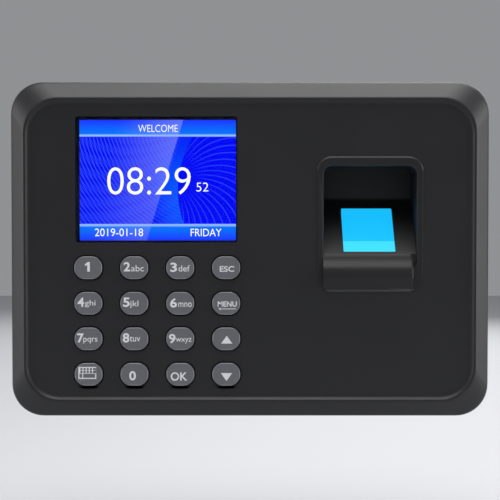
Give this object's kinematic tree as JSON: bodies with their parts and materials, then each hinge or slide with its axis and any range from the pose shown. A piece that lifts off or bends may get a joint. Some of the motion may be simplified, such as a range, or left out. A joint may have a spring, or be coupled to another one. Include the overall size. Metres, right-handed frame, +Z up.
{
  "type": "fingerprint scanner terminal",
  "caption": "Wall terminal with a colour display, a keypad and a finger pocket with a lit, tilted sensor window; it hangs on a hooked steel plate.",
  "frame": {"origin": "centre of the wall plate's back face, which lies on the wall", "axes": "+X to the right as seen from the front, +Y into the wall, +Z up; the display faces -Y"},
  "size_m": [0.18, 0.0342, 0.126],
  "materials": {
    "zinc_steel": "zinc-plated pressed sheet, satin",
    "rear_plastic": "fine-grained moulded black",
    "front_plastic": "satin moulded black",
    "bezel_plastic": "satin moulded black",
    "window_acrylic": "polished clear acrylic over a black border",
    "foam": "closed-cell foam, matt",
    "display_glass": "lit colour display",
    "tin_sheet": "tinned sheet, satin",
    "amber_film": "polyimide film",
    "silicone": "translucent grey silicone, matt",
    "board_laminate": "glass-fibre laminate with solder mask",
    "sensor_glass": "coated glass prism, lit from below",
    "sensor_plastic": "matt moulded black",
    "lens_glass": "coated lens",
    "screw_steel": "zinc-plated steel",
    "cream_nylon": "moulded nylon",
    "cable_sleeve": "vinyl sleeve",
    "speaker_paper": "pressed paper",
    "magnet_ferrite": "ferrite",
    "nickel_shell": "nickel-plated",
    "black_nylon": "moulded nylon",
    "cell_steel": "bright steel",
    "chip_epoxy": "moulded epoxy",
    "capacitor_sleeve": "shrunk vinyl sleeve",
    "key_plastic": "moulded grey, printed legends"
  },
  "bodies": {
    "wall_plate": {"wall_plate": "zinc_steel"},
    "terminal": {"rear_cover": "rear_plastic", "front_cover": "front_plastic", "finger_bezel": "bezel_plastic", "display_window": "window_acrylic", "display_gasket": "foam", "lcd_glass": "display_glass", "lcd_frame": "tin_sheet", "lcd_flex": "amber_film", "keypad_mat": "silicone", "main_board": "board_laminate", "sensor_window": "sensor_glass", "sensor_body": "sensor_plastic", "sensor_board": "board_laminate", "sensor_lens": "lens_glass", "sensor_screw_1": "screw_steel", "sensor_screw_2": "screw_steel", "sensor_connector": "cream_nylon", "speaker_connector": "cream_nylon", "sensor_cable": "cable_sleeve", "speaker_lead": "cable_sleeve", "speaker_frame": "tin_sheet", "speaker_cone": "speaker_paper", "speaker_magnet": "magnet_ferrite", "usb_shell": "nickel_shell", "usb_tongue": "cream_nylon", "dc_jack": "black_nylon", "dc_pin": "nickel_shell", "battery_holder": "black_nylon", "coin_cell": "cell_steel", "processor_chip": "chip_epoxy", "memory_chip": "chip_epoxy", "crystal_can": "cell_steel", "capacitor": "capacitor_sleeve", "inductor": "magnet_ferrite", "cover_screw_1": "screw_steel", "board_screw_1": "screw_steel", "cover_screw_2": "screw_steel", "board_screw_2": "screw_steel", "cover_screw_3": "screw_steel", "board_screw_3": "screw_steel", "cover_screw_4": "screw_steel", "board_screw_4": "screw_steel"},
    "key_1": {"key_1": "key_plastic"},
    "key_2": {"key_2": "key_plastic"},
    "key_3": {"key_3": "key_plastic"},
    "key_esc": {"key_esc": "key_plastic"},
    "key_4": {"key_4": "key_plastic"},
    "key_5": {"key_5": "key_plastic"},
    "key_6": {"key_6": "key_plastic"},
    "key_menu": {"key_menu": "key_plastic"},
    "key_7": {"key_7": "key_plastic"},
    "key_8": {"key_8": "key_plastic"},
    "key_9": {"key_9": "key_plastic"},
    "key_up": {"key_up": "key_plastic"},
    "key_keyboard": {"key_keyboard": "key_plastic"},
    "key_0": {"key_0": "key_plastic"},
    "key_ok": {"key_ok": "key_plastic"},
    "key_down": {"key_down": "key_plastic"}
  },
  "joints": [
    {"name": "terminal_lift", "type": "slide", "parent": "wall_plate", "child": "terminal", "axis": [0, 0, 1], "range_m": [0, 0.008]},
    {"name": "key_1_press", "type": "slide", "parent": "terminal", "child": "key_1", "axis": [0, 1, 0], "range_m": [0, 0.001], "stiffness_N_per_m": 1200},
    {"name": "key_2_press", "type": "slide", "parent": "terminal", "child": "key_2", "axis": [0, 1, 0], "range_m": [0, 0.001], "stiffness_N_per_m": 1200},
    {"name": "key_3_press", "type": "slide", "parent": "terminal", "child": "key_3", "axis": [0, 1, 0], "range_m": [0, 0.001], "stiffness_N_per_m": 1200},
    {"name": "key_esc_press", "type": "slide", "parent": "terminal", "child": "key_esc", "axis": [0, 1, 0], "range_m": [0, 0.001], "stiffness_N_per_m": 1200},
    {"name": "key_4_press", "type": "slide", "parent": "terminal", "child": "key_4", "axis": [0, 1, 0], "range_m": [0, 0.001], "stiffness_N_per_m": 1200},
    {"name": "key_5_press", "type": "slide", "parent": "terminal", "child": "key_5", "axis": [0, 1, 0], "range_m": [0, 0.001], "stiffness_N_per_m": 1200},
    {"name": "key_6_press", "type": "slide", "parent": "terminal", "child": "key_6", "axis": [0, 1, 0], "range_m": [0, 0.001], "stiffness_N_per_m": 1200},
    {"name": "key_menu_press", "type": "slide", "parent": "terminal", "child": "key_menu", "axis": [0, 1, 0], "range_m": [0, 0.001], "stiffness_N_per_m": 1200},
    {"name": "key_7_press", "type": "slide", "parent": "terminal", "child": "key_7", "axis": [0, 1, 0], "range_m": [0, 0.001], "stiffness_N_per_m": 1200},
    {"name": "key_8_press", "type": "slide", "parent": "terminal", "child": "key_8", "axis": [0, 1, 0], "range_m": [0, 0.001], "stiffness_N_per_m": 1200},
    {"name": "key_9_press", "type": "slide", "parent": "terminal", "child": "key_9", "axis": [0, 1, 0], "range_m": [0, 0.001], "stiffness_N_per_m": 1200},
    {"name": "key_up_press", "type": "slide", "parent": "terminal", "child": "key_up", "axis": [0, 1, 0], "range_m": [0, 0.001], "stiffness_N_per_m": 1200},
    {"name": "key_keyboard_press", "type": "slide", "parent": "terminal", "child": "key_keyboard", "axis": [0, 1, 0], "range_m": [0, 0.001], "stiffness_N_per_m": 1200},
    {"name": "key_0_press", "type": "slide", "parent": "terminal", "child": "key_0", "axis": [0, 1, 0], "range_m": [0, 0.001], "stiffness_N_per_m": 1200},
    {"name": "key_ok_press", "type": "slide", "parent": "terminal", "child": "key_ok", "axis": [0, 1, 0], "range_m": [0, 0.001], "stiffness_N_per_m": 1200},
    {"name": "key_down_press", "type": "slide", "parent": "terminal", "child": "key_down", "axis": [0, 1, 0], "range_m": [0, 0.001], "stiffness_N_per_m": 1200}
  ]
}
